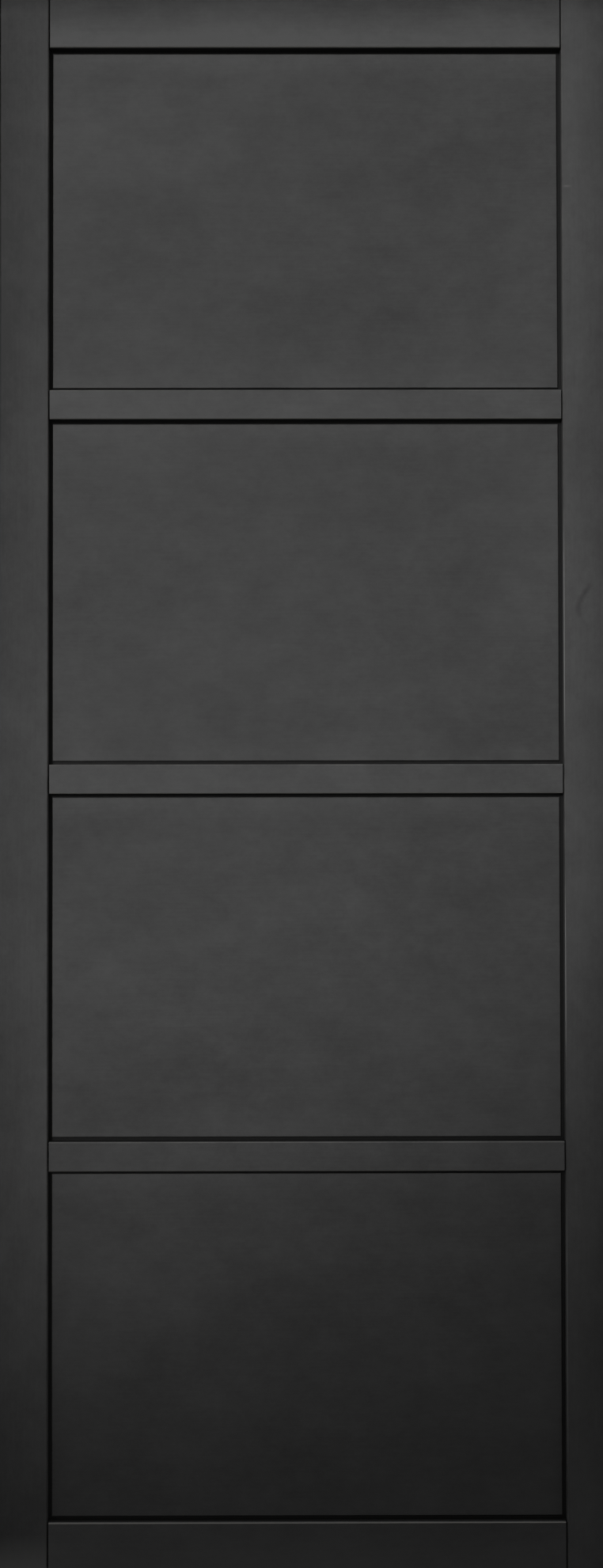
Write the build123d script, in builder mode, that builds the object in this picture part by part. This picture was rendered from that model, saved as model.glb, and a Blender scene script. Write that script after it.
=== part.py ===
import os

from build123d import *

os.makedirs("parts", exist_ok=True)

# Door leaf: two full-height stiles, two end rails, cross rails and flat panels
leaf_width = 762.0
leaf_height = 1981.0
leaf_thickness = 35.0
stile_width = 60.0
end_rail_height = 74.0
cross_rail_height = 36.0
panel_count = 4
arris = 1.0

# Panels: a tongue all round sits in the grooves, and a narrow quirk sets the field off
panel_thickness = 12.0
tongue_thickness = 6.0
quirk_width = 4.5
groove_depth = 9.0
groove_fit = 0.1
tongue_end_clearance = 1.0

# Rail ends: a stub tongue in the stile's groove, a loose tenon, and an open line at each shoulder
joint_line_width = 2.0
joint_line_depth = 5.0
tenon_thickness = 10.0
tenon_length = 72.0
tenon_stile_reach = 34.0
tenon_web_share = 0.6
tenon_fit = 0.1
tenon_end_clearance = 2.0

# Gaps round the closed leaf
side_gap = 3.0
head_gap = 3.0
floor_gap = 6.0

# Door lining and the laths that stop the leaf
lining_thickness = 28.0
lining_depth = 132.0
head_housing_depth = 12.0
stop_thickness = 12.0
stop_width = 32.0
stop_clearance = 1.0

# Clearance holes in the jambs for fixing the lining to an opening
fixing_hole_radius = 3.0
fixing_height_shares = (0.08, 0.92)

# Butt hinges, one near each end of the leaf
hinge_height = 76.0
hinge_plate_width = 25.0
hinge_plate_thickness = 2.0
hinge_top_offset = 150.0
hinge_bottom_offset = 225.0
knuckle_count = 5
knuckle_radius = 4.5
knuckle_end_gap = 0.3
knuckle_side_clearance = 0.3
knuckle_standoff = 0.5
pin_radius = 2.5
pin_running_clearance = 0.05
pin_seat_clearance = 0.02
mortise_clearance = 0.1

# Countersunk hinge screws, driven straight into the wood
hinge_screw_shank_radius = 2.0
hinge_screw_length = 20.0
hinge_screw_fit = 0.05
hinge_screw_pitch_share = 0.33
hinge_screw_outer_share = 0.36
hinge_screw_inner_share = 0.66

# Brads of flat wire: one size through the stop laths, one through the head into the jambs
stop_brad_width = 1.2
stop_brad_thickness = 1.0
stop_brad_length = 32.0
head_brad_width = 1.6
head_brad_thickness = 1.4
head_brad_length = 50.0
side_stop_brad_shares = (0.04, 0.22, 0.4, 0.58, 0.76, 0.94)
head_stop_brad_shares = (0.1, 0.5, 0.9)
head_brad_shares = (0.15, 0.5, 0.85)

# One overrun for every cut that leaves the material
overrun = 5.0

# Places that follow from the sizes above
doorway_width = leaf_width + 2 * side_gap
leaf_bottom = floor_gap
leaf_top = leaf_bottom + leaf_height
head_bottom = leaf_top + head_gap
jamb_top = head_bottom + head_housing_depth
head_top = head_bottom + lining_thickness
leaf_front = -lining_depth / 2
leaf_middle = leaf_front + leaf_thickness / 2
leaf_back = leaf_front + leaf_thickness
stop_front = leaf_back + stop_clearance
stop_middle = stop_front + stop_width / 2
stop_back = stop_front + stop_width
fixing_y = (stop_back + lining_depth / 2) / 2
side_stop_height = head_bottom - stop_thickness

opening_width = leaf_width - 2 * stile_width
cross_rail_count = panel_count - 1
rails_together = 2 * end_rail_height + cross_rail_count * cross_rail_height
sight_height = (leaf_height - rails_together) / panel_count
rail_pitch = sight_height + cross_rail_height
groove_width = tongue_thickness + 2 * groove_fit
tongue_reach = groove_depth - tongue_end_clearance
tenon_rail_reach = tenon_length - tenon_stile_reach

leaf_edge = leaf_width / 2
jamb_face = doorway_width / 2
pin_x = leaf_edge + side_gap / 2
pin_y = leaf_front - knuckle_radius - knuckle_standoff
plate_end = pin_y + hinge_plate_width
plate_start = pin_y + knuckle_radius + knuckle_side_clearance
knuckle_pitch = hinge_height / knuckle_count
hinge_screw_pitch = hinge_screw_pitch_share * hinge_height
hinge_screw_head_radius = hinge_screw_shank_radius + hinge_plate_thickness
hinge_middles = (
    leaf_bottom + hinge_bottom_offset + hinge_height / 2,
    leaf_top - hinge_top_offset - hinge_height / 2,
)
hinge_names = ("lower", "upper")


def keep(piece, name):
    piece.part.label = name
    export_step(piece.part, f"parts/{name}.step")


def rail_height(index):
    return end_rail_height if index in (0, panel_count) else cross_rail_height


def rail_bottom(index):
    if index == 0:
        return leaf_bottom
    return leaf_bottom + end_rail_height + sight_height + (index - 1) * rail_pitch


def rail_name(index):
    if index == 0:
        return "bottom_rail"
    if index == panel_count:
        return "top_rail"
    return f"cross_rail_{panel_count - index}"


def tenon_middle_and_height(index):
    # The loose tenon stands in the solid web between the panel grooves
    low = rail_bottom(index) + (groove_depth if index > 0 else 0)
    high = rail_bottom(index) + rail_height(index) - (groove_depth if index < panel_count else 0)
    return (low + high) / 2, tenon_web_share * (high - low)


def hinge_screw_places(middle):
    # Three screws in a shallow triangle: the middle one nearer the knuckles
    outer_y = leaf_front + hinge_screw_outer_share * (plate_end - leaf_front)
    inner_y = leaf_front + hinge_screw_inner_share * (plate_end - leaf_front)
    return [
        (inner_y, middle - hinge_screw_pitch),
        (outer_y, middle),
        (inner_y, middle + hinge_screw_pitch),
    ]


def hinge_screw_planes(face_x, normal_x):
    return [
        Plane(origin=(face_x, y, z), z_dir=(normal_x, 0, 0))
        for middle in hinge_middles
        for y, z in hinge_screw_places(middle)
    ]


def fixing_planes(side):
    return [
        Plane(origin=(side * jamb_face, fixing_y, share * head_bottom), z_dir=(-side, 0, 0))
        for share in fixing_height_shares
    ]


def head_brad_planes():
    return [
        Plane(
            origin=(
                side * (jamb_face + lining_thickness / 2),
                -lining_depth / 2 + share * lining_depth,
                head_top,
            )
        )
        for side in (-1, 1)
        for share in head_brad_shares
    ]


def stop_brad_planes():
    sides = [
        Plane(
            origin=(side * (jamb_face - stop_thickness), stop_middle, share * side_stop_height),
            z_dir=(-side, 0, 0),
        )
        for side in (-1, 1)
        for share in side_stop_brad_shares
    ]
    across = [
        Plane(
            origin=(-jamb_face + share * doorway_width, stop_middle, side_stop_height),
            z_dir=(0, 0, -1),
        )
        for share in head_stop_brad_shares
    ]
    return sides + across


def ease_long_edges(part, axis):
    # Takes the sharpness off the long corners on the front and back faces
    long_edges = part.edges().filter_by(axis).group_by(Axis.Y)
    chamfer(long_edges[0] + long_edges[-1], length=arris)


def cut_tenon_mortise(index, shoulder_x, reach):
    # A square-ended pocket on both sides of the shoulder line
    middle_z, height = tenon_middle_and_height(index)
    with Locations((shoulder_x, leaf_middle, middle_z)):
        Box(
            2 * (reach + tenon_end_clearance),
            tenon_thickness + 2 * tenon_fit,
            height + 2 * tenon_fit,
            mode=Mode.SUBTRACT,
        )


def cut_hinge_mortises(face_x):
    # Shallow housings that let the plates lie flush with the wood
    mortise_length = plate_end + mortise_clearance - leaf_front + overrun
    mortise_y = plate_end + mortise_clearance - mortise_length / 2
    with Locations(*[(face_x, mortise_y, middle) for middle in hinge_middles]):
        Box(
            2 * hinge_plate_thickness,
            mortise_length,
            hinge_height + 2 * mortise_clearance,
            mode=Mode.SUBTRACT,
        )


# Stiles: grooved along the inner edge, mortised for the loose tenons
def make_stile(name, side):
    inner_x = side * opening_width / 2
    with BuildPart() as stile:
        with BuildSketch(Plane.XY.offset(leaf_bottom)):
            with Locations((side * (leaf_width - stile_width) / 2, leaf_middle)):
                Rectangle(stile_width, leaf_thickness)
            with Locations((inner_x + side * groove_depth / 2, leaf_middle)):
                Rectangle(groove_depth, groove_width, mode=Mode.SUBTRACT)
        extrude(amount=leaf_height)
        ease_long_edges(stile, Axis.Z)
        for index in range(panel_count + 1):
            cut_tenon_mortise(index, inner_x, tenon_stile_reach)
        if side > 0:
            cut_hinge_mortises(leaf_edge)
    keep(stile, name)


make_stile("lock_stile", -1)
make_stile("hinge_stile", 1)


# Rails: stub tongues, tenon mortises, panel grooves and a stepped shoulder line on both faces
def make_rail(index):
    low = rail_bottom(index)
    height = rail_height(index)
    tongue_end = opening_width / 2 + tongue_reach
    with BuildPart() as rail:
        with BuildSketch(Plane.XY.offset(low)):
            with Locations((0, leaf_middle)):
                Rectangle(opening_width - 2 * joint_line_width, leaf_thickness)
                Rectangle(opening_width, leaf_thickness - 2 * joint_line_depth)
                Rectangle(2 * tongue_end, tongue_thickness)
        extrude(amount=height)
        ease_long_edges(rail, Axis.X)
        grooved = [low + height] if index < panel_count else []
        grooved += [low] if index > 0 else []
        for edge_z in grooved:
            with Locations((0, leaf_middle, edge_z)):
                Box(2 * tongue_end + overrun, groove_width, 2 * groove_depth, mode=Mode.SUBTRACT)
        for side in (-1, 1):
            cut_tenon_mortise(index, side * opening_width / 2, tenon_rail_reach)
    keep(rail, rail_name(index))


# Loose tenons of one rail: two identical slips, one in each end
def make_tenons(index):
    middle_x = opening_width / 2 + tenon_stile_reach - tenon_length / 2
    middle_z, height = tenon_middle_and_height(index)
    with BuildPart() as tenons:
        with Locations((-middle_x, leaf_middle, middle_z), (middle_x, leaf_middle, middle_z)):
            Box(tenon_length, tenon_thickness, height)
    keep(tenons, f"{rail_name(index)}_tenons")


for rail_index in range(panel_count + 1):
    make_rail(rail_index)
    make_tenons(rail_index)


# Panels, numbered from the top: a raised field on both faces and a tongue all round
def make_panel(number):
    index = panel_count - number
    middle_z = rail_bottom(index) + rail_height(index) + sight_height / 2
    with BuildPart() as panel:
        with Locations((0, leaf_middle, middle_z)):
            Box(opening_width - 2 * quirk_width, panel_thickness, sight_height - 2 * quirk_width)
            Box(
                opening_width + 2 * tongue_reach,
                tongue_thickness,
                sight_height + 2 * tongue_reach,
            )
        rims = panel.edges().group_by(Axis.Y)
        chamfer(rims[0] + rims[-1], length=arris)
    keep(panel, f"panel_{number}")


for panel_number in range(1, panel_count + 1):
    make_panel(panel_number)


# Jambs: the hinge jamb is mortised for the plates
def make_jamb(name, side):
    with BuildPart() as jamb:
        with BuildSketch():
            with Locations((side * (jamb_face + lining_thickness / 2), 0)):
                Rectangle(lining_thickness, lining_depth)
        extrude(amount=jamb_top)
        ease_long_edges(jamb, Axis.Z)
        with Locations(*fixing_planes(side)):
            Hole(radius=fixing_hole_radius)
        if side > 0:
            cut_hinge_mortises(jamb_face)
    keep(jamb, name)


make_jamb("lock_jamb", -1)
make_jamb("hinge_jamb", 1)

# Head: its rebated ends sit over the tops of the jambs
with BuildPart() as head:
    with BuildSketch(Plane.YZ):
        with Locations((0, head_bottom + lining_thickness / 2)):
            Rectangle(lining_depth, lining_thickness)
    extrude(amount=jamb_face + lining_thickness, both=True)
    ease_long_edges(head, Axis.X)
    for end in (-1, 1):
        with Locations((end * (jamb_face + lining_thickness), 0, head_bottom)):
            Box(
                2 * lining_thickness,
                lining_depth + overrun,
                2 * head_housing_depth,
                mode=Mode.SUBTRACT,
            )
keep(head, "head")


# Stop laths: eased on the corners that show, nailed to the lining
def make_side_stop(name, side):
    with BuildPart() as lath:
        with BuildSketch():
            with Locations((side * (jamb_face - stop_thickness / 2), stop_middle)):
                Rectangle(stop_thickness, stop_width)
        extrude(amount=side_stop_height)
        shown = lath.edges().filter_by(Axis.Z).sort_by(Axis.X)
        chamfer(shown[:2] if side > 0 else shown[-2:], length=arris)
    keep(lath, name)


make_side_stop("lock_stop", -1)
make_side_stop("hinge_stop", 1)

with BuildPart() as head_stop:
    with BuildSketch(Plane.YZ):
        with Locations((stop_middle, head_bottom - stop_thickness / 2)):
            Rectangle(stop_width, stop_thickness)
    extrude(amount=jamb_face, both=True)
    chamfer(head_stop.edges().filter_by(Axis.X).group_by(Axis.Z)[0], length=arris)
keep(head_stop, "head_stop")


# Brads: plain flat wire, flush with the face they are driven through
def make_brads(name, planes, width, thickness, length):
    with BuildPart() as brads:
        with Locations(*planes):
            Box(width, thickness, length, align=(Align.CENTER, Align.CENTER, Align.MAX))
    keep(brads, name)


make_brads(
    "stop_brads", stop_brad_planes(), stop_brad_width, stop_brad_thickness, stop_brad_length
)
make_brads(
    "head_brads", head_brad_planes(), head_brad_width, head_brad_thickness, head_brad_length
)

# Hinge screw with its head flush at the origin, pointing down; the head is as deep as the plate
with BuildPart() as screw_form:
    with BuildSketch(Plane.XZ):
        with BuildLine():
            Polyline(
                (0, 0),
                (hinge_screw_head_radius, 0),
                (hinge_screw_shank_radius, -hinge_plate_thickness),
                (hinge_screw_shank_radius, -hinge_screw_length),
                (0, -hinge_screw_length),
                close=True,
            )
        make_face()
    revolve(axis=Axis.Z)

with BuildPart() as leaf_hinge_screws:
    with Locations(*hinge_screw_planes(leaf_edge, 1)):
        add(screw_form.part)
keep(leaf_hinge_screws, "leaf_hinge_screws")

with BuildPart() as jamb_hinge_screws:
    with Locations(*hinge_screw_planes(jamb_face, -1)):
        add(screw_form.part)
keep(jamb_hinge_screws, "jamb_hinge_screws")


# Hinge plates: alternate knuckles interlock round one pin
def make_plate(name, middle, side, first_knuckle, bore_radius):
    face_x = jamb_face if side > 0 else leaf_edge
    sheet_x = face_x + side * hinge_plate_thickness / 2
    bottom = middle - hinge_height / 2
    with BuildPart() as plate:
        with Locations((sheet_x, (plate_start + plate_end) / 2, middle)):
            Box(hinge_plate_thickness, plate_end - plate_start, hinge_height)
        for n in range(first_knuckle, knuckle_count, 2):
            low_gap = knuckle_end_gap / 2 if n > 0 else 0
            high_gap = knuckle_end_gap / 2 if n < knuckle_count - 1 else 0
            low = bottom + n * knuckle_pitch + low_gap
            length = knuckle_pitch - low_gap - high_gap
            with BuildSketch(Plane.XY.offset(low)):
                with Locations((pin_x, pin_y)):
                    Circle(knuckle_radius)
                with Locations((sheet_x, (pin_y + plate_start) / 2)):
                    Rectangle(hinge_plate_thickness, plate_start - pin_y)
            extrude(amount=length)
        with Locations((pin_x, pin_y, middle)):
            Cylinder(radius=bore_radius, height=hinge_height + overrun, mode=Mode.SUBTRACT)
        screw_planes = [
            Plane(origin=(face_x, y, z), z_dir=(-side, 0, 0)) for y, z in hinge_screw_places(middle)
        ]
        with Locations(*screw_planes):
            Cone(
                bottom_radius=hinge_screw_shank_radius + hinge_screw_fit,
                top_radius=hinge_screw_head_radius + hinge_screw_fit,
                height=hinge_plate_thickness,
                align=(Align.CENTER, Align.CENTER, Align.MAX),
                mode=Mode.SUBTRACT,
            )
    keep(plate, name)


# Hinge pin: a straight rod, flush with the ends of the knuckles
def make_pin(name, middle):
    with BuildPart() as pin:
        with Locations((pin_x, pin_y, middle)):
            Cylinder(radius=pin_radius, height=hinge_height)
    keep(pin, name)


for hinge_name, hinge_middle in zip(hinge_names, hinge_middles):
    make_plate(
        f"{hinge_name}_hinge_leaf_plate", hinge_middle, -1, 1, pin_radius + pin_running_clearance
    )
    make_plate(
        f"{hinge_name}_hinge_jamb_plate", hinge_middle, 1, 0, pin_radius + pin_seat_clearance
    )
    make_pin(f"{hinge_name}_hinge_pin", hinge_middle)
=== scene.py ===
import math

import bpy
import numpy as np
from mathutils import Matrix, Vector


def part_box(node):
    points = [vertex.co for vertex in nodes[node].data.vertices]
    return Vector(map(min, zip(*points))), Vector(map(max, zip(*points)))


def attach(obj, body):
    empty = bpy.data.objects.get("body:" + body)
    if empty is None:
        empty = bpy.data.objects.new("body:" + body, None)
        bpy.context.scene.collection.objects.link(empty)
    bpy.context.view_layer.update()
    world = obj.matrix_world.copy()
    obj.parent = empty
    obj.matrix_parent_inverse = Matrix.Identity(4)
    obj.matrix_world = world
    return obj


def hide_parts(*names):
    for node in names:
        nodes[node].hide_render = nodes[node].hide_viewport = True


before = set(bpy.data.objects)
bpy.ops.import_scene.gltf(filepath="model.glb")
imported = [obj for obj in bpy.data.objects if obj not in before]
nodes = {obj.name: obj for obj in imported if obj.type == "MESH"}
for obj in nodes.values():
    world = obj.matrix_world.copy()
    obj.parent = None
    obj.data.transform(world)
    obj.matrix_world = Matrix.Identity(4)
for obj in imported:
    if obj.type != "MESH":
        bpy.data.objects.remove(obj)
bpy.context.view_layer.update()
print("frame loaded,", len(nodes), "nodes")


# sRGB hex text to a linear colour with alpha
def hexToLinear(text):
    channels = np.array([int(text[i:i + 2], 16) for i in (1, 3, 5)]) / 255
    linear = np.where(channels <= 0.04045, channels / 12.92, ((channels + 0.055) / 1.055) ** 2.4)
    return (*linear.tolist(), 1.0)


# texture scale for a feature of this size, because Object coordinates are in metres
def perMetre(millimetres):
    return 1000.0 / millimetres


# one node with its settings; an input is a value or a socket to link from
def addNode(tree, kind, settings, inputs):
    made = tree.nodes.new(kind)
    for name, value in settings.items():
        setattr(made, name, value)
    for key, value in inputs.items():
        if isinstance(value, bpy.types.NodeSocket):
            tree.links.new(value, made.inputs[key])
        else:
            made.inputs[key].default_value = value
    return made


def startMaterial(name):
    material = bpy.data.materials.new(name)
    material.use_nodes = True
    material.node_tree.nodes.clear()
    return material, material.node_tree


# direction at one angle to the right of straight back, and another above level
def heading(across, rise):
    return (
        math.sin(across) * math.cos(rise),
        math.cos(across) * math.cos(rise),
        math.sin(rise),
    )


# matrix whose axes are right, up and back, for a camera or a lamp that looks forward
def aim(place, forward, roll=0.0):
    forward = Vector(forward).normalized()
    right = forward.cross(Vector((0, 0, 1))).normalized()
    up = right.cross(forward)
    turnedRight = math.cos(roll) * right + math.sin(roll) * up
    turnedUp = math.cos(roll) * up - math.sin(roll) * right
    matrix = Matrix((turnedRight, turnedUp, -forward)).transposed().to_4x4()
    matrix.translation = Vector(place)
    return matrix


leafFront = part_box("lock_stile")[0][1]  # y of the face in the photograph

# camera, from the joint lines of the leaf
cameraView = {
    "distance": 2.6,
    "x": -0.0133,
    "z": 0.9299,
    "across": math.radians(0.167),
    "rise": math.radians(1.326),
    "roll": math.radians(-0.09),
    "lens": 48.085,
    "sensor": 36.0,
    "clipEnd": 200.0,
}
cameraData = bpy.data.cameras.new("camera")
cameraData.lens = cameraView["lens"]
cameraData.sensor_width = cameraView["sensor"]
cameraData.clip_end = cameraView["clipEnd"]
camera = bpy.data.objects.new("camera", cameraData)
bpy.context.scene.collection.objects.link(camera)
camera.matrix_world = aim(
    (cameraView["x"], leafFront - cameraView["distance"], cameraView["z"]),
    heading(cameraView["across"], cameraView["rise"]),
    cameraView["roll"],
)
bpy.context.scene.camera = camera
bpy.context.scene.view_settings.view_transform = "Standard"
print("camera set")

# key: a gridded softbox high on the left, aimed at the upper half of the leaf
keyLamp = {
    "place": (-1.114, leafFront - 3.0, 2.252),
    "across": 0.35,
    "rise": -0.25,
    "roll": 0.589,
    "size": (1.726, 1.596),
    "spread": 2 * math.atan(0.132),
    "power": 6.7,
}
keyData = bpy.data.lights.new("key softbox", "AREA")
keyData.shape = "RECTANGLE"
keyData.size, keyData.size_y = keyLamp["size"]
keyData.energy = keyLamp["power"]
keyData.spread = keyLamp["spread"]
key = bpy.data.objects.new("key softbox", keyData)
bpy.context.scene.collection.objects.link(key)
key.matrix_world = aim(
    keyLamp["place"], heading(keyLamp["across"], keyLamp["rise"]), keyLamp["roll"]
)

# even light from behind and from both sides, level, so that none of it pools on the floor
fillLamps = {
    "back fill": {"forward": (0.5, -1.0, 0.0), "strength": 2.8},
    "left fill": {"forward": (1.0, -0.25, 0.0), "strength": 2.4},
    "right fill": {"forward": (-1.0, -0.25, 0.0), "strength": 2.6},
}
fillSoftness = math.radians(12)
skyLamp = {"strength": 2.41, "softness": math.radians(40)}


def addEvenLamp(name, strength, softness):
    data = bpy.data.lights.new(name, "SUN")
    data.energy = strength
    data.angle = softness
    lamp = bpy.data.objects.new(name, data)
    bpy.context.scene.collection.objects.link(lamp)
    return lamp


for lampName, lamp in fillLamps.items():
    fill = addEvenLamp(lampName, lamp["strength"], fillSoftness)
    fill.matrix_world = aim((0, 0, 0), lamp["forward"])
addEvenLamp("sky panel", skyLamp["strength"], skyLamp["softness"])  # a new one shines straight down


# one for a ray from the eye, also by way of metal or glass, and nought for other light
def seenByEye(tree):
    path = addNode(tree, "ShaderNodeLightPath", {}, {})
    seen = path.outputs["Is Camera Ray"]
    for kind in ("Is Glossy Ray", "Is Transmission Ray"):
        either = addNode(
            tree, "ShaderNodeMath", {"operation": "MAXIMUM"}, {0: seen, 1: path.outputs[kind]}
        )
        seen = either.outputs[0]
    return seen


# world: pale to the eye and in reflections, only a little light for the rest
studioWorld = {"seen": "#d9d9d7", "seenStrength": 1.0, "fill": "#ffffff", "fillStrength": 0.13}
world = bpy.data.worlds.new("studio")
bpy.context.scene.world = world
world.use_nodes = True
tree = world.node_tree
tree.nodes.clear()
fillSky = addNode(
    tree, "ShaderNodeBackground", {},
    {"Color": hexToLinear(studioWorld["fill"]), "Strength": studioWorld["fillStrength"]},
)
paleSky = addNode(
    tree, "ShaderNodeBackground", {},
    {"Color": hexToLinear(studioWorld["seen"]), "Strength": studioWorld["seenStrength"]},
)
mixed = addNode(
    tree, "ShaderNodeMixShader", {},
    {0: seenByEye(tree), 1: fillSky.outputs[0], 2: paleSky.outputs[0]},
)
addNode(tree, "ShaderNodeOutputWorld", {}, {"Surface": mixed.outputs[0]})

# floor: pale to the eye and in reflections, dull to the light that it would throw back up
studioFloor = {"size": 90.0, "below": 0.0003, "pale": "#dededc", "dull": "#3c3c3c"}
half = studioFloor["size"] / 2
floorCorners = ((-half, -half), (half, -half), (half, half), (-half, half))
floorMesh = bpy.data.meshes.new("floor")
floorMesh.from_pydata([(x, y, -studioFloor["below"]) for x, y in floorCorners], [], [(0, 1, 2, 3)])
floor = bpy.data.objects.new("floor", floorMesh)
bpy.context.scene.collection.objects.link(floor)
material, tree = startMaterial("pale studio floor")
dull = addNode(tree, "ShaderNodeBsdfDiffuse", {}, {"Color": hexToLinear(studioFloor["dull"])})
pale = addNode(tree, "ShaderNodeBsdfDiffuse", {}, {"Color": hexToLinear(studioFloor["pale"])})
mixed = addNode(
    tree, "ShaderNodeMixShader", {},
    {0: seenByEye(tree), 1: dull.outputs[0], 2: pale.outputs[0]},
)
addNode(tree, "ShaderNodeOutputMaterial", {}, {"Surface": mixed.outputs[0]})
floorMesh.materials.append(material)
print("lamps, world and floor set")

# black eggshell paint: cloudy tone, faint streaks along the wood that it was brushed on, roller
# stipple in the gloss, and a coat rubbed thin along the eased corners; with painted light and shade
# along each piece, painted highlights on some corners and round the panels, and painted shade in
# the grooves
paint = {
    "dark": "#2b2b2b",
    "light": "#4c4c4c",
    # worn paint, also used as the painted highlight along level corners
    "wornAndHighlight": "#63625f",
    # painted highlight on the lengths of the hinge stile's inner corner that catch the light
    "paintedHighlight": "#6f6f6e",
    "dust": "#7b7b7a",
    # painted shade for the grooves and the open lines at shoulders
    "paintedGrooveShade": "#0b0b0b",
    "cloudSize": 240.0,
    "cloudStretch": 1.4,
    "cloudDetail": 7.0,
    "cloudRoughness": 0.84,
    "cloudShare": 1.85,
    "streakLength": 70.0,
    "streakWidth": 2.6,  # drawn coarser than real brush lines, so that they show
    "streakDetail": 2.0,
    "streakShare": 0.2,
    "streakHeight": 0.00004,
    "stippleSize": 2.2,
    "stippleDetail": 1.0,
    "stippleHeight": 0.00003,
    "bumpStrength": 0.6,
    "glossClouds": (0.3, 0.7),
    "roughness": (0.56, 0.68),
    "specular": 0.13,
    "frontLean": -0.5,  # a face is on the front where its normal's y is below this
    "cornerLean": 0.707,  # what an eased corner's normal has in y, give or take the slack
    "cornerSlack": 0.12,
    "levelLean": 0.5,
    "wornClouds": (0.42, 0.62),  # from a whole corner to a rubbed one
    "wornShare": 0.5,
    "highlightCore": 0.4,  # part of a painted highlight length that is palest
    "dustHeights": (0.012, 0.06),
    "shoulderDepth": 0.0042,  # from the face down to the painted shade of the open line at a shoulder
    "grooveSlack": 0.0002,
    "grooveEdge": 0.0008,
}

leafLow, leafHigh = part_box("lock_stile")[0][2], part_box("lock_stile")[1][2]
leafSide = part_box("hinge_stile")[1][0]
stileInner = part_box("hinge_stile")[0][0]
leafMiddle = (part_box("lock_stile")[0][1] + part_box("lock_stile")[1][1]) / 2
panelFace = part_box("panel_4")[1][1] - leafMiddle  # half the panel's thickness
shoulderFace = leafMiddle - leafFront - paint["shoulderDepth"]
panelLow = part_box("bottom_rail")[1][2]
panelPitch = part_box("cross_rail_3")[1][2] - panelLow
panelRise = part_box("cross_rail_3")[0][2] - panelLow

# each shade runs along an axis from one place to another and adds to the tone between them; these
# are painted light and
# shade: a darker top edge of the leaf, stiles darker towards their outer edges, the lock stile
# darker higher up, the top rail palest along its lower edge, the cross rails paler higher up and
# the bottom rail paler on the left
paintedTopShade = {"axis": "z", "between": (leafHigh - 0.032, leafHigh - 0.006), "adds": (0.0, -0.5)}
paintedPieces = {
    "black eggshell paint on the lock stile": {
        "along": "z",
        "paintedShades": [
            paintedTopShade,
            {"axis": "x", "between": (-leafSide, -stileInner), "adds": (-0.27, -0.02)},
            {"axis": "z", "between": (0.85, 1.2), "adds": (0.1, -0.16)},
        ],
        "paleCornersWithin": stileInner + 0.01,
        "footDust": 0.55,
    },
    "black eggshell paint on the hinge stile": {
        "along": "z",
        "paintedShades": [
            paintedTopShade,
            {"axis": "x", "between": (stileInner + 0.012, leafSide), "adds": (0.15, -0.22)},
        ],
        "paleCornersWithin": stileInner + 0.01,
        # painted highlight: paler lengths of the inner corner where the light catches it
        "highlightLengths": [
            {"middle": 1.18, "half": 0.17, "share": 1.0},
            {"middle": 0.755, "half": 0.12, "share": 1.0},
            {"middle": 0.31, "half": 0.2, "share": 0.75},
        ],
        "curl": {
            "x": 0.3465, "swing": 0.0072, "wave": 0.075, "peak": 1.245, "width": 0.0065,
            "low": 1.172, "dark": 1.229, "high": 1.244, "adds": -0.45,
        },
        "chip": {"x": (0.3271, 0.0075), "z": (1.7375, 0.0022), "share": 0.55},
    },
    "black eggshell paint on the top rail": {
        "along": "x",
        "paintedShades": [
            {"axis": "z", "between": (leafHigh - 0.062, leafHigh - 0.009), "adds": (0.42, -0.5)},
        ],
        # painted highlight all along the corners that face down
        "levelHighlight": {"faces": -1, "share": 1.0},
        "shadeBehind": shoulderFace,
    },
    "black eggshell paint on the cross rails": {
        "along": "x",
        "paintedShades": [{"axis": "z", "between": (0.5, 1.0), "adds": (0.06, 0.24)}],
        # painted highlight all along the corners that face down
        "levelHighlight": {"faces": -1, "share": 1.0},
        "shadeBehind": shoulderFace,
    },
    "black eggshell paint on the bottom rail": {
        "along": "x",
        "paintedShades": [{"axis": "x", "between": (-stileInner, 0.2), "adds": (0.35, 0.05)}],
        # painted highlight all along the corners that face up
        "levelHighlight": {"faces": 1, "share": 0.8},
        "footDust": 0.12,
        "shadeBehind": shoulderFace,
    },
    "black eggshell paint on the panels": {
        "along": "x",
        "paintedShades": [],
        # painted highlight round the panel, palest under the rail above
        "cutIn": {"width": 0.045, "sideAdds": 0.03, "bottomAdds": 0.14, "topAdds": 0.28},
        "shadeBehind": panelFace - paint["grooveSlack"],
    },
    "black eggshell paint on the upright lining": {"along": "z", "paintedShades": []},
    "black eggshell paint on the level lining": {"along": "x", "paintedShades": []},
}


# clouds and brush streaks, both drawn out along the wood
def cloudsAndStreaks(tree, coords, along):
    grain = "xyz".index(along)
    cloudScale = [perMetre(paint["cloudSize"])] * 3
    cloudScale[grain] /= paint["cloudStretch"]
    spread = addNode(
        tree, "ShaderNodeMapping", {},
        {"Vector": coords.outputs["Object"], "Scale": tuple(cloudScale)},
    )
    clouds = addNode(
        tree, "ShaderNodeTexNoise", {},
        {
            "Vector": spread.outputs[0], "Scale": 1.0,
            "Detail": paint["cloudDetail"], "Roughness": paint["cloudRoughness"],
        },
    )
    streakScale = [perMetre(paint["streakWidth"])] * 3
    streakScale[grain] = perMetre(paint["streakLength"])
    brushed = addNode(
        tree, "ShaderNodeMapping", {},
        {"Vector": coords.outputs["Object"], "Scale": tuple(streakScale)},
    )
    streaks = addNode(
        tree, "ShaderNodeTexNoise", {},
        {"Vector": brushed.outputs[0], "Scale": 1.0, "Detail": paint["streakDetail"]},
    )
    return clouds, streaks


# painted light and shade along a piece, as changes to its tone
def paintedLightAndShade(tree, paintedShades, place):
    return [
        addNode(
            tree, "ShaderNodeMapRange", {},
            {
                "Value": place.outputs["xyz".index(shade["axis"])],
                "From Min": shade["between"][0], "From Max": shade["between"][1],
                "To Min": shade["adds"][0], "To Max": shade["adds"][1],
            },
        )
        for shade in paintedShades
    ]
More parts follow.
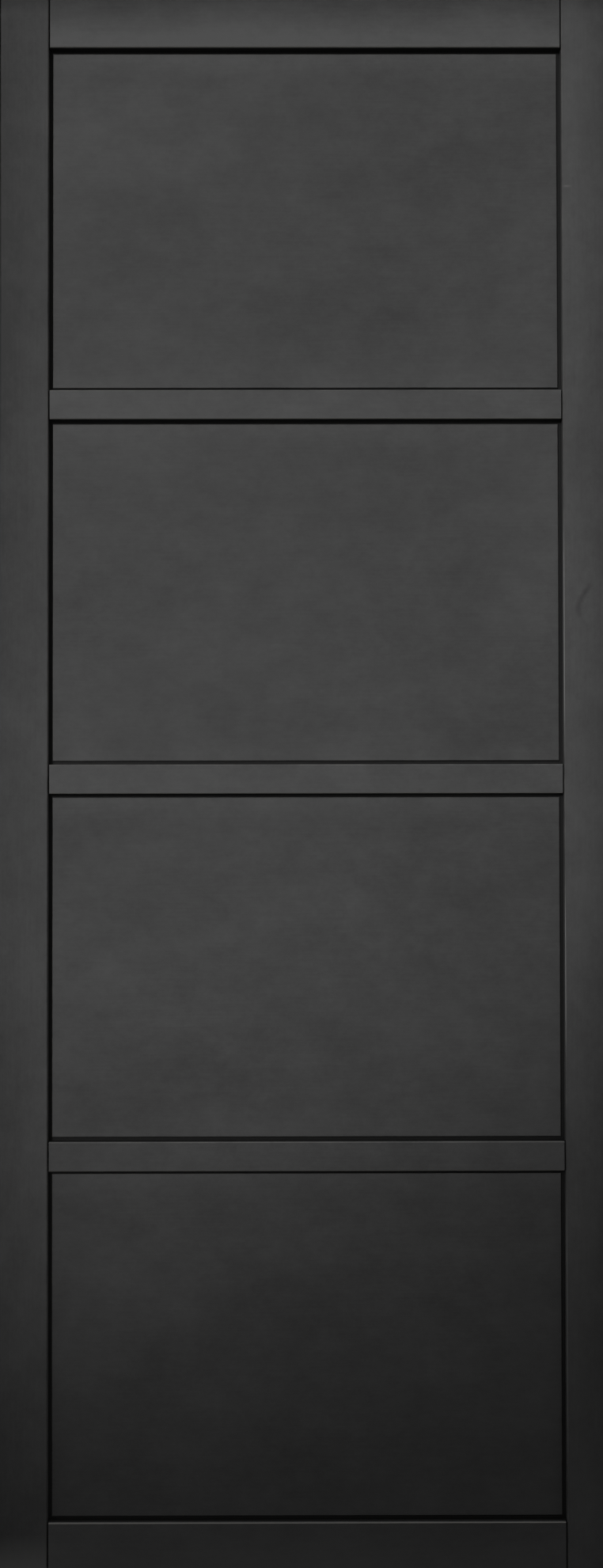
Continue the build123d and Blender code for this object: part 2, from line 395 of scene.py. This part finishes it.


# painted highlight: a paler band round each panel, palest under the rail above
def cutInChanges(tree, cutIn, place):
    sideways = addNode(tree, "ShaderNodeMath", {"operation": "ABSOLUTE"}, {0: place.outputs[0]})
    toSide = addNode(
        tree, "ShaderNodeMath", {"operation": "SUBTRACT"}, {0: stileInner, 1: sideways.outputs[0]}
    )
    above = addNode(
        tree, "ShaderNodeMath", {"operation": "SUBTRACT"}, {0: place.outputs[2], 1: panelLow}
    )
    above = addNode(
        tree, "ShaderNodeMath", {"operation": "MODULO"}, {0: above.outputs[0], 1: panelPitch}
    )
    toTop = addNode(
        tree, "ShaderNodeMath", {"operation": "SUBTRACT"}, {0: panelRise, 1: above.outputs[0]}
    )
    return [
        addNode(
            tree, "ShaderNodeMapRange", {"interpolation_type": "SMOOTHSTEP"},
            {
                "Value": distance.outputs[0], "From Min": 0.0, "From Max": cutIn["width"],
                "To Min": cutIn[adds], "To Max": 0.0,
            },
        )
        for distance, adds in ((toSide, "sideAdds"), (above, "bottomAdds"), (toTop, "topAdds"))
    ]


# a curl of the grain under the paint: a soft dark line that swings to one side as it drops
# and is darkest near its upper end
def curlChange(tree, curl, place, front):
    turn = 2 * math.pi / curl["wave"]
    phase = addNode(
        tree, "ShaderNodeMath", {"operation": "MULTIPLY_ADD"},
        {0: place.outputs[2], 1: turn, 2: -turn * curl["peak"]},
    )
    swing = addNode(tree, "ShaderNodeMath", {"operation": "COSINE"}, {0: phase.outputs[0]})
    swing = addNode(
        tree, "ShaderNodeMath", {"operation": "MULTIPLY_ADD"},
        {0: swing.outputs[0], 1: curl["swing"], 2: curl["x"]},
    )
    off = addNode(
        tree, "ShaderNodeMath", {"operation": "SUBTRACT"},
        {0: place.outputs[0], 1: swing.outputs[0]},
    )
    off = addNode(tree, "ShaderNodeMath", {"operation": "ABSOLUTE"}, {0: off.outputs[0]})
    line = addNode(
        tree, "ShaderNodeMapRange", {"interpolation_type": "SMOOTHSTEP"},
        {
            "Value": off.outputs[0], "From Max": curl["width"],
            "To Min": curl["adds"], "To Max": 0.0,
        },
    )
    fades = [
        addNode(
            tree, "ShaderNodeMapRange", {"interpolation_type": "SMOOTHSTEP"},
            {"Value": place.outputs[2], "From Min": end, "From Max": curl["dark"]},
        )
        for end in (curl["low"], curl["high"])
    ]
    for mask in (front, *fades):
        line = addNode(
            tree, "ShaderNodeMath", {"operation": "MULTIPLY"},
            {0: line.outputs[0], 1: mask.outputs[0]},
        )
    return line


# eased corners, each mask with its colour: rubbed where the clouds are pale, a painted highlight
# all along on level corners that face up or down, and a brighter painted highlight on the lengths
# of the inner corner where the light catches it
def cornerLayers(tree, look, place, facing, front, clouds):
    lean = addNode(tree, "ShaderNodeMath", {"operation": "ABSOLUTE"}, {0: facing.outputs[1]})
    corner = addNode(
        tree, "ShaderNodeMath", {"operation": "COMPARE"},
        {0: lean.outputs[0], 1: paint["cornerLean"], 2: paint["cornerSlack"]},
    )
    rubbedAndLit = addNode(
        tree, "ShaderNodeMapRange", {},
        {
            "Value": clouds.outputs["Fac"],
            "From Min": paint["wornClouds"][0], "From Max": paint["wornClouds"][1],
            "To Max": paint["wornShare"],
        },
    )
    if "levelHighlight" in look:
        level = addNode(
            tree, "ShaderNodeMath", {"operation": "MULTIPLY"},
            {0: facing.outputs[2], 1: look["levelHighlight"]["faces"]},
        )
        level = addNode(
            tree, "ShaderNodeMath", {"operation": "GREATER_THAN"},
            {0: level.outputs[0], 1: paint["levelLean"]},
        )
        level = addNode(
            tree, "ShaderNodeMath", {"operation": "MULTIPLY"},
            {0: level.outputs[0], 1: look["levelHighlight"]["share"]},
        )
        rubbedAndLit = addNode(
            tree, "ShaderNodeMath", {"operation": "MAXIMUM"},
            {0: rubbedAndLit.outputs[0], 1: level.outputs[0]},
        )
    masks = [corner]
    if "paleCornersWithin" in look:
        sideways = addNode(tree, "ShaderNodeMath", {"operation": "ABSOLUTE"}, {0: place.outputs[0]})
        inner = addNode(
            tree, "ShaderNodeMath", {"operation": "LESS_THAN"},
            {0: sideways.outputs[0], 1: look["paleCornersWithin"]},
        )
        masks.append(inner)
    for mask in masks:
        rubbedAndLit = addNode(
            tree, "ShaderNodeMath", {"operation": "MULTIPLY"},
            {0: rubbedAndLit.outputs[0], 1: mask.outputs[0]},
        )
    layers = [(rubbedAndLit, "wornAndHighlight")]
    for length in look.get("highlightLengths", []):
        off = addNode(
            tree, "ShaderNodeMath", {"operation": "SUBTRACT"},
            {0: place.outputs[2], 1: length["middle"]},
        )
        off = addNode(tree, "ShaderNodeMath", {"operation": "ABSOLUTE"}, {0: off.outputs[0]})
        paintedHighlight = addNode(
            tree, "ShaderNodeMapRange", {"interpolation_type": "SMOOTHSTEP"},
            {
                "Value": off.outputs[0],
                "From Min": length["half"] * paint["highlightCore"], "From Max": length["half"],
                "To Min": length["share"], "To Max": 0.0,
            },
        )
        for mask in (*masks, front):
            paintedHighlight = addNode(
                tree, "ShaderNodeMath", {"operation": "MULTIPLY"},
                {0: paintedHighlight.outputs[0], 1: mask.outputs[0]},
            )
        layers.append((paintedHighlight, "paintedHighlight"))
    return layers


# a small knock in the front face, where the coat has gone pale
def chipMask(tree, chip, place, front):
    knocked = addNode(
        tree, "ShaderNodeMath", {"operation": "MULTIPLY"}, {0: front.outputs[0], 1: chip["share"]}
    )
    for axis, (middle, half) in ((0, chip["x"]), (2, chip["z"])):
        off = addNode(
            tree, "ShaderNodeMath", {"operation": "SUBTRACT"}, {0: place.outputs[axis], 1: middle}
        )
        off = addNode(tree, "ShaderNodeMath", {"operation": "ABSOLUTE"}, {0: off.outputs[0]})
        near = addNode(
            tree, "ShaderNodeMapRange", {"interpolation_type": "SMOOTHSTEP"},
            {"Value": off.outputs[0], "From Max": half, "To Min": 1.0, "To Max": 0.0},
        )
        knocked = addNode(
            tree, "ShaderNodeMath", {"operation": "MULTIPLY"},
            {0: knocked.outputs[0], 1: near.outputs[0]},
        )
    return knocked


def footDustMask(tree, share, place):
    lowEdge, highEdge = paint["dustHeights"]
    return addNode(
        tree, "ShaderNodeMapRange", {},
        {
            "Value": place.outputs[2],
            "From Min": leafLow + lowEdge, "From Max": leafLow + highEdge,
            "To Min": share, "To Max": 0.0,
        },
    )


# painted shade: the groove round a panel and the open line at a shoulder are painted near black
# behind a depth, standing in for the shade deep in them
def grooveShadeMask(tree, face, place):
    depth = addNode(
        tree, "ShaderNodeMath", {"operation": "SUBTRACT"}, {0: place.outputs[1], 1: leafMiddle}
    )
    depth = addNode(tree, "ShaderNodeMath", {"operation": "ABSOLUTE"}, {0: depth.outputs[0]})
    return addNode(
        tree, "ShaderNodeMapRange", {},
        {
            "Value": depth.outputs[0],
            "From Min": face - paint["grooveEdge"], "From Max": face,
            "To Min": 1.0, "To Max": 0.0,
        },
    )


def blackPaint(name):
    look = paintedPieces[name]
    material, tree = startMaterial(name)
    coords = addNode(tree, "ShaderNodeTexCoord", {}, {})
    place = addNode(tree, "ShaderNodeSeparateXYZ", {}, {0: coords.outputs["Object"]})
    facing = addNode(tree, "ShaderNodeSeparateXYZ", {}, {0: coords.outputs["Normal"]})
    front = addNode(
        tree, "ShaderNodeMath", {"operation": "LESS_THAN"},
        {0: facing.outputs[1], 1: paint["frontLean"]},
    )
    clouds, streaks = cloudsAndStreaks(tree, coords, look["along"])

    # tone is one half, give or take the clouds and the streaks, and then what the piece adds:
    # painted light and shade, the painted highlight round the panels and the curl of grain
    tone = addNode(
        tree, "ShaderNodeMath", {"operation": "MULTIPLY_ADD"},
        {
            0: clouds.outputs["Fac"], 1: paint["cloudShare"],
            2: 0.5 - 0.5 * (paint["cloudShare"] + paint["streakShare"]),
        },
    )
    tone = addNode(
        tree, "ShaderNodeMath", {"operation": "MULTIPLY_ADD"},
        {0: streaks.outputs["Fac"], 1: paint["streakShare"], 2: tone.outputs[0]},
    )
    changes = paintedLightAndShade(tree, look["paintedShades"], place)
    if "cutIn" in look:
        changes += cutInChanges(tree, look["cutIn"], place)
    if "curl" in look:
        changes.append(curlChange(tree, look["curl"], place, front))
    for change in changes:
        tone = addNode(
            tree, "ShaderNodeMath", {"operation": "ADD"},
            {0: tone.outputs[0], 1: change.outputs[0]},
        )
    colour = addNode(
        tree, "ShaderNodeMix", {"data_type": "RGBA", "clamp_factor": True},
        {0: tone.outputs[0], 6: hexToLinear(paint["dark"]), 7: hexToLinear(paint["light"])},
    )

    # wear, painted highlights, dust and the painted shade in the grooves over the tone, the last
    # one on top
    layers = cornerLayers(tree, look, place, facing, front, clouds)
    if "chip" in look:
        layers.append((chipMask(tree, look["chip"], place, front), "wornAndHighlight"))
    if "footDust" in look:
        layers.append((footDustMask(tree, look["footDust"], place), "dust"))
    if "shadeBehind" in look:
        layers.append((grooveShadeMask(tree, look["shadeBehind"], place), "paintedGrooveShade"))
    for mask, coat in layers:
        colour = addNode(
            tree, "ShaderNodeMix", {"data_type": "RGBA"},
            {0: mask.outputs[0], 6: colour.outputs[2], 7: hexToLinear(paint[coat])},
        )

    stipple = addNode(
        tree, "ShaderNodeTexNoise", {},
        {
            "Vector": coords.outputs["Object"], "Scale": perMetre(paint["stippleSize"]),
            "Detail": paint["stippleDetail"],
        },
    )
    gloss = addNode(
        tree, "ShaderNodeMapRange", {},
        {
            "Value": clouds.outputs["Fac"],
            "From Min": paint["glossClouds"][0], "From Max": paint["glossClouds"][1],
            "To Min": paint["roughness"][0], "To Max": paint["roughness"][1],
        },
    )
    bump = addNode(
        tree, "ShaderNodeBump", {},
        {
            "Height": streaks.outputs["Fac"], "Strength": paint["bumpStrength"],
            "Distance": paint["streakHeight"],
        },
    )
    bump = addNode(
        tree, "ShaderNodeBump", {},
        {
            "Height": stipple.outputs["Fac"], "Strength": paint["bumpStrength"],
            "Distance": paint["stippleHeight"], "Normal": bump.outputs[0],
        },
    )
    surface = addNode(
        tree, "ShaderNodeBsdfPrincipled", {},
        {
            "Base Color": colour.outputs[2], "Roughness": gloss.outputs[0],
            "Specular IOR Level": paint["specular"], "Normal": bump.outputs[0],
        },
    )
    addNode(tree, "ShaderNodeOutputMaterial", {}, {"Surface": surface.outputs[0]})
    return material


# planed beech: pale pinkish brown with long fine grain
beech = {
    "pale": "#c9a27a",
    "brown": "#a97f58",
    "grainLength": 60.0,
    "grainWidth": 1.2,
    "grainDetail": 4.0,
    "grainHeight": 0.00004,
    "bumpStrength": 0.5,
    "roughness": 0.6,
}


def planedBeech():
    material, tree = startMaterial("planed beech")
    coords = addNode(tree, "ShaderNodeTexCoord", {}, {})
    length, width = perMetre(beech["grainLength"]), perMetre(beech["grainWidth"])
    laid = addNode(
        tree, "ShaderNodeMapping", {},
        {"Vector": coords.outputs["Object"], "Scale": (length, width, width)},
    )
    grain = addNode(
        tree, "ShaderNodeTexNoise", {},
        {"Vector": laid.outputs[0], "Scale": 1.0, "Detail": beech["grainDetail"]},
    )
    colour = addNode(
        tree, "ShaderNodeMix", {"data_type": "RGBA"},
        {0: grain.outputs["Fac"], 6: hexToLinear(beech["pale"]), 7: hexToLinear(beech["brown"])},
    )
    bump = addNode(
        tree, "ShaderNodeBump", {},
        {
            "Height": grain.outputs["Fac"], "Strength": beech["bumpStrength"],
            "Distance": beech["grainHeight"],
        },
    )
    surface = addNode(
        tree, "ShaderNodeBsdfPrincipled", {},
        {
            "Base Color": colour.outputs[2], "Roughness": beech["roughness"],
            "Normal": bump.outputs[0],
        },
    )
    addNode(tree, "ShaderNodeOutputMaterial", {}, {"Surface": surface.outputs[0]})
    return material


# steel: satin lines up and down the hinges, and duller, patchy zinc on screws and brads
steel = {
    "satin stainless steel": {
        "dark": "#a9a7a3", "light": "#c6c4bf", "lineLength": 30.0, "lineWidth": 0.5,
        "lineDetail": 3.0, "lineHeight": 0.00001, "bumpStrength": 0.4,
        "glossLines": (0.3, 0.7), "roughness": (0.36, 0.5),
    },
    "zinc plated steel": {
        "dark": "#8e9093", "light": "#b4b6b8", "lineLength": 3.0, "lineWidth": 1.5,
        "lineDetail": 3.0, "lineHeight": 0.00001, "bumpStrength": 0.4,
        "glossLines": (0.3, 0.7), "roughness": (0.34, 0.5),
    },
}


def brushedMetal(name):
    look = steel[name]
    material, tree = startMaterial(name)
    coords = addNode(tree, "ShaderNodeTexCoord", {}, {})
    length, width = perMetre(look["lineLength"]), perMetre(look["lineWidth"])
    laid = addNode(
        tree, "ShaderNodeMapping", {},
        {"Vector": coords.outputs["Object"], "Scale": (width, width, length)},
    )
    lines = addNode(
        tree, "ShaderNodeTexNoise", {},
        {"Vector": laid.outputs[0], "Scale": 1.0, "Detail": look["lineDetail"]},
    )
    colour = addNode(
        tree, "ShaderNodeMix", {"data_type": "RGBA"},
        {0: lines.outputs["Fac"], 6: hexToLinear(look["dark"]), 7: hexToLinear(look["light"])},
    )
    gloss = addNode(
        tree, "ShaderNodeMapRange", {},
        {
            "Value": lines.outputs["Fac"],
            "From Min": look["glossLines"][0], "From Max": look["glossLines"][1],
            "To Min": look["roughness"][0], "To Max": look["roughness"][1],
        },
    )
    bump = addNode(
        tree, "ShaderNodeBump", {},
        {
            "Height": lines.outputs["Fac"], "Strength": look["bumpStrength"],
            "Distance": look["lineHeight"],
        },
    )
    surface = addNode(
        tree, "ShaderNodeBsdfPrincipled", {},
        {
            "Base Color": colour.outputs[2], "Metallic": 1.0, "Roughness": gloss.outputs[0],
            "Normal": bump.outputs[0],
        },
    )
    addNode(tree, "ShaderNodeOutputMaterial", {}, {"Surface": surface.outputs[0]})
    return material


paints = {name: blackPaint(name) for name in paintedPieces}
beechWood = planedBeech()
satinSteel = brushedMetal("satin stainless steel")
zincSteel = brushedMetal("zinc plated steel")


def finishFor(name):
    if name.endswith("tenons"):
        return beechWood
    if name.endswith(("plate", "pin")):
        return satinSteel
    if name.endswith(("screws", "brads")):
        return zincSteel
    if name.startswith("panel"):
        return paints["black eggshell paint on the panels"]
    if name.startswith("cross_rail"):
        return paints["black eggshell paint on the cross rails"]
    if name.endswith(("stile", "rail")):
        return paints["black eggshell paint on the " + name.replace("_", " ")]
    level = "level" if name.startswith("head") else "upright"
    return paints["black eggshell paint on the " + level + " lining"]


for name, node in nodes.items():
    node.data.materials.clear()
    node.data.materials.append(finishFor(name))
print("finishes set")

# hinge screws with a cross recess and a thread, in place of the plain ones of the frame
hingeScrew = {
    "places": ((-0.0588, 0.0), (-0.0528, -0.02508), (-0.0528, 0.02508)),  # y, z from mid hinge
    "turnSeed": 7,
    "headRadius": 0.004,
    "headDepth": 0.002,
    "shankRadius": 0.002,
    "rootRadius": 0.0014,
    "length": 0.02,
    "pitch": 0.0018,
    "ridgeSlope": 4,
    "tipLength": 0.004,
    "tipShare": 0.02,
    "recessDepth": 0.0014,
    "recessReach": 0.0024,
    "recessHalfWidth": 0.00055,
    "recessWall": 0.0002,
    "recessEnd": 0.0003,
    "recessRise": 0.45,
    "middleRadius": 0.00002,
    "aroundCount": 64,
    "faceRows": 22,
    "shankRows": 96,
}


# screw surface on a grid of rows by angle, head at the origin and point along +x:
# the first rows cross the head's face from its middle, sunk where either arm of the cross lies
# and less so towards its ends, and the others go down the cone and the shank, whose radius
# rises and falls along a helix and tapers to the point
def screwSurface(turn):
    screw = hingeScrew
    angle = np.linspace(0, 2 * np.pi, screw["aroundCount"], endpoint=False)
    faceRadius = np.linspace(screw["middleRadius"], screw["headRadius"], screw["faceRows"])[:, None]
    armA = np.abs(faceRadius * np.sin(angle - turn))
    armB = np.abs(faceRadius * np.cos(angle - turn))
    inArm = (screw["recessHalfWidth"] - np.minimum(armA, armB)) / screw["recessWall"]
    arm = np.clip(inArm + 0.5, 0, 1)
    reach = np.clip((screw["recessReach"] - faceRadius) / screw["recessEnd"], 0, 1)
    rise = (1 - screw["recessRise"] * faceRadius / screw["recessReach"]).clip(0, 1)
    sunk = screw["recessDepth"] * arm * reach * rise
    down = np.linspace(screw["headDepth"], screw["length"], screw["shankRows"])[:, None]
    phase = (down / screw["pitch"] - angle / (2 * np.pi)) % 1
    ridge = np.clip(1 - np.abs(phase - 0.5) * screw["ridgeSlope"], 0, 1)
    thread = screw["rootRadius"] + (screw["shankRadius"] - screw["rootRadius"]) * ridge
    taper = np.clip((screw["length"] - down) / screw["tipLength"], screw["tipShare"], 1)
    along = np.concatenate([sunk, down + 0 * angle])
    radius = np.concatenate([faceRadius + 0 * angle, thread * taper])
    return np.stack([along, radius * np.cos(angle), radius * np.sin(angle)], -1)


# faces of a stack of such grids, each closed round its angle, with a many-sided face at both ends
def screwFaces(count, rows, around):
    row, column = np.meshgrid(np.arange(rows - 1), np.arange(around), indexing="ij")
    corner = np.stack(
        [
            row * around + column,
            row * around + (column + 1) % around,
            (row + 1) * around + (column + 1) % around,
            (row + 1) * around + column,
        ],
        -1,
    ).reshape(-1, 4)
    start = np.arange(count) * rows * around
    walls = (corner[None] + start[:, None, None]).reshape(-1, 4)
    heads = np.arange(around)[::-1] + start[:, None]
    points = np.arange(around) + (rows - 1) * around + start[:, None]
    return walls.tolist() + heads.tolist() + points.tolist()


def addHingeScrews(name, body, headX, pointing):
    pins = [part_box(h + "_hinge_pin") for h in ("lower", "upper")]
    middles = [(pin[0][2] + pin[1][2]) / 2 for pin in pins]
    places = [
        (headX, y, middle + step) for middle in middles for y, step in hingeScrew["places"]
    ]
    turns = np.random.default_rng(hingeScrew["turnSeed"]).uniform(0, np.pi / 2, len(places))
    grids = np.stack([screwSurface(turn) for turn in turns])
    if pointing < 0:
        grids = grids * (-1, -1, 1)  # half a turn about z, so that nothing is mirrored
    grids = grids + np.array(places)[:, None, None, :]
    count, rows, around = grids.shape[:3]
    faces = screwFaces(count, rows, around)
    mesh = bpy.data.meshes.new(name)
    mesh.from_pydata(grids.reshape(-1, 3).tolist(), [], faces)
    mesh.polygons.foreach_set("use_smooth", np.ones(len(faces), bool))
    mesh.materials.append(zincSteel)
    piece = bpy.data.objects.new(name, mesh)
    bpy.context.scene.collection.objects.link(piece)
    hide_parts(name.replace("cross_recess_", ""))
    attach(piece, body)


addHingeScrews("cross_recess_leaf_hinge_screws", "leaf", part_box("leaf_hinge_screws")[1][0], -1)
addHingeScrews("cross_recess_jamb_hinge_screws", "frame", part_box("jamb_hinge_screws")[0][0], 1)
print("hinge screws set")
